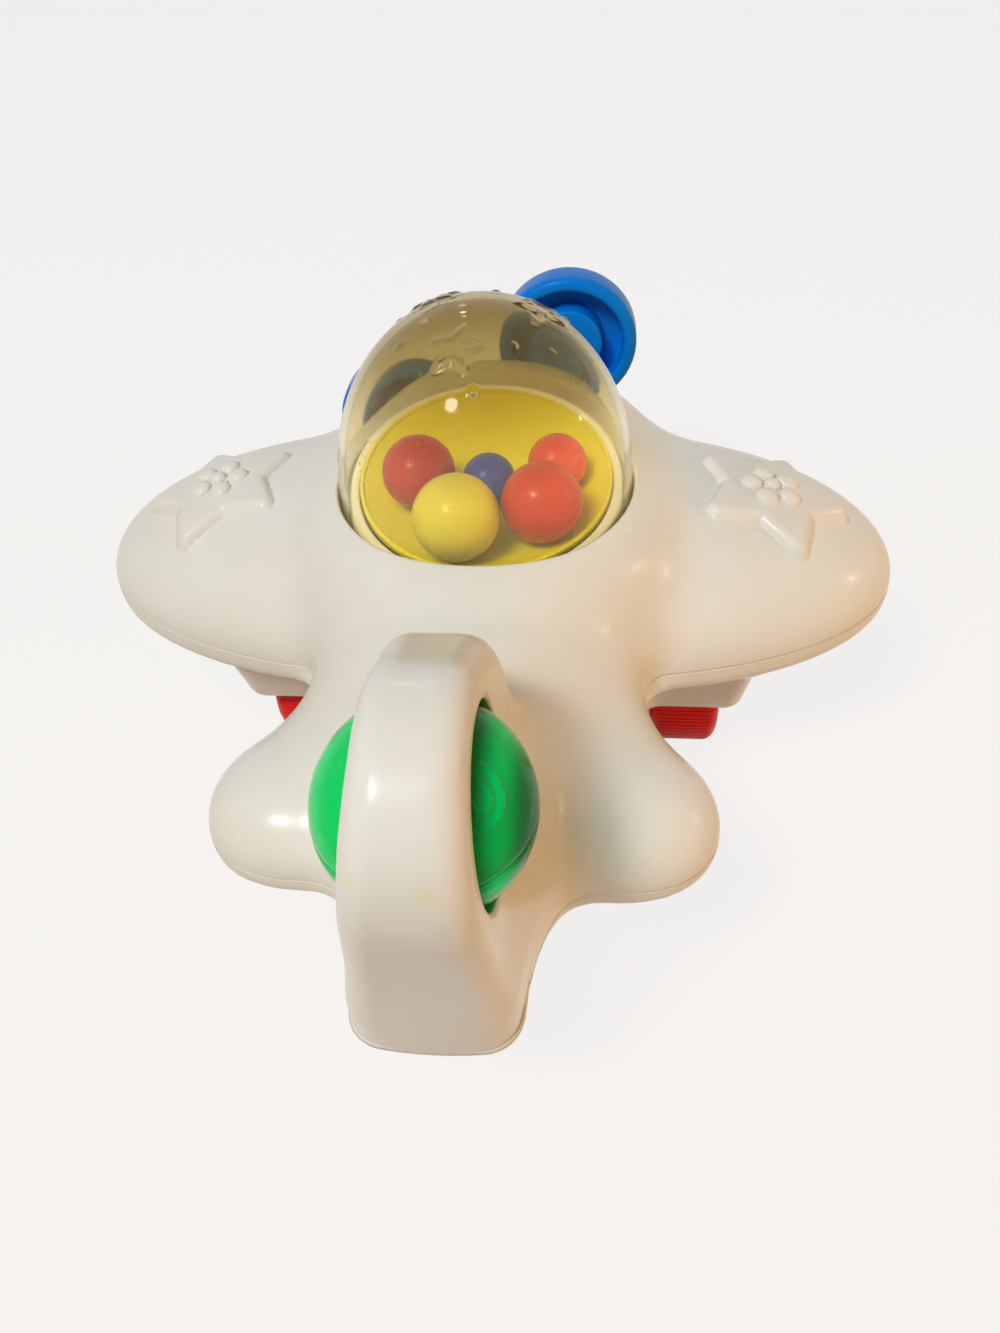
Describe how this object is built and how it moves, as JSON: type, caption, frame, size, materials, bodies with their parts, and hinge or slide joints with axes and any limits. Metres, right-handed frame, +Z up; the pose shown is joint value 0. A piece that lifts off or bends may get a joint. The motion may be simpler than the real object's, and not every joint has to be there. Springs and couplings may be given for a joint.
{
  "type": "popper toy airplane",
  "caption": "Wheeled toy airplane whose clear dome holds loose balls that hop on a popping dish as it rolls, with a lobed propeller and a rattle ball in the fin.",
  "frame": {"origin": "on the ground under the middle of the toy's box", "axes": "+X towards the right wing, +Y towards the nose, +Z up"},
  "size_m": [0.22, 0.236, 0.139],
  "materials": {
    "white_shell": "glossy cream-white moulded plastic",
    "white_inner": "plain white moulded plastic, out of sight",
    "amber_clear": "clear amber moulded plastic",
    "green_clear": "clear green moulded plastic",
    "yellow_plastic": "glossy yellow moulded plastic",
    "red_plastic": "semi-gloss red moulded plastic",
    "blue_plastic": "glossy blue moulded plastic",
    "grey_rubber": "soft grey rubber",
    "ball_yellow": "glossy yellow plastic",
    "ball_orange": "glossy orange plastic",
    "ball_dark_red": "glossy dark red plastic",
    "ball_pink": "glossy coral plastic",
    "ball_blue": "glossy blue plastic",
    "axle_steel": "bright drawn steel",
    "screw_steel": "zinc-plated steel",
    "spring_steel": "spring steel"
  },
  "bodies": {
    "airframe": {"upper_shell": "white_shell", "lower_shell": "white_shell", "dome": "amber_clear", "dome_ring": "white_inner", "dome_screws": "screw_steel", "stem_guide": "white_inner", "guide_screws": "screw_steel", "axle_bushes": "white_inner", "propeller_bush": "white_inner", "rattle_ball_pins": "axle_steel", "tail_axle": "axle_steel", "shell_screws": "screw_steel", "return_spring": "spring_steel"},
    "popper": {"popper_dish": "yellow_plastic", "popper_stem": "yellow_plastic"},
    "wheelset": {"main_axle": "axle_steel", "wheel_left": "red_plastic", "wheel_right": "red_plastic", "axle_caps": "axle_steel", "flicker_hub": "red_plastic", "flicker_fingers": "grey_rubber"},
    "ball_yellow": {"ball_yellow": "ball_yellow"},
    "ball_orange": {"ball_orange": "ball_orange"},
    "ball_dark_red": {"ball_dark_red": "ball_dark_red"},
    "ball_pink": {"ball_pink": "ball_pink"},
    "ball_blue": {"ball_blue": "ball_blue"},
    "propeller": {"propeller": "blue_plastic", "propeller_cap": "yellow_plastic", "propeller_shaft": "axle_steel", "shaft_clip": "axle_steel"},
    "rattle_ball": {"rattle_ball_upper": "green_clear", "rattle_ball_lower": "green_clear", "rattle_beads": "yellow_plastic"},
    "tail_wheel": {"tail_wheel": "red_plastic"}
  },
  "joints": [
    {"name": "dish_pop", "type": "slide", "parent": "airframe", "child": "popper", "axis": [0, 0, 1], "range_m": [0, 0.005], "stiffness_N_per_m": 100, "deforming": ["return_spring"]},
    {"name": "yellow_hop", "type": "slide", "parent": "airframe", "child": "ball_yellow", "axis": [0, 0, 1], "range_m": [0, 0.008]},
    {"name": "orange_hop", "type": "slide", "parent": "airframe", "child": "ball_orange", "axis": [0, 0, 1], "range_m": [0, 0.012]},
    {"name": "dark_red_hop", "type": "slide", "parent": "airframe", "child": "ball_dark_red", "axis": [0, 0, 1], "range_m": [0, 0.02]},
    {"name": "pink_hop", "type": "slide", "parent": "airframe", "child": "ball_pink", "axis": [0, 0, 1], "range_m": [0, 0.02]},
    {"name": "blue_hop", "type": "slide", "parent": "airframe", "child": "ball_blue", "axis": [0, 0, 1], "range_m": [0, 0.028]},
    {"name": "axle_roll", "type": "hinge", "parent": "airframe", "child": "wheelset", "pos_m": [0, 0.033, 0.019], "axis": [1, 0, 0], "continuous": true, "deforming": ["flicker_fingers"]},
    {"name": "propeller_spin", "type": "hinge", "parent": "airframe", "child": "propeller", "pos_m": [0, 0.11, 0.062], "axis": [0, 1, 0], "continuous": true},
    {"name": "rattle_ball_spin", "type": "hinge", "parent": "airframe", "child": "rattle_ball", "pos_m": [0, -0.0915, 0.103], "axis": [0, 0, 1], "continuous": true},
    {"name": "tail_wheel_roll", "type": "hinge", "parent": "airframe", "child": "tail_wheel", "pos_m": [0, -0.057, 0.014], "axis": [1, 0, 0], "continuous": true}
  ],
  "couplings": [
    {"joint": "yellow_hop", "follows": "dish_pop", "ratio": 1.6},
    {"joint": "orange_hop", "follows": "dish_pop", "ratio": 2.4},
    {"joint": "dark_red_hop", "follows": "dish_pop", "ratio": 4},
    {"joint": "pink_hop", "follows": "dish_pop", "ratio": 4},
    {"joint": "blue_hop", "follows": "dish_pop", "ratio": 5.6}
  ]
}
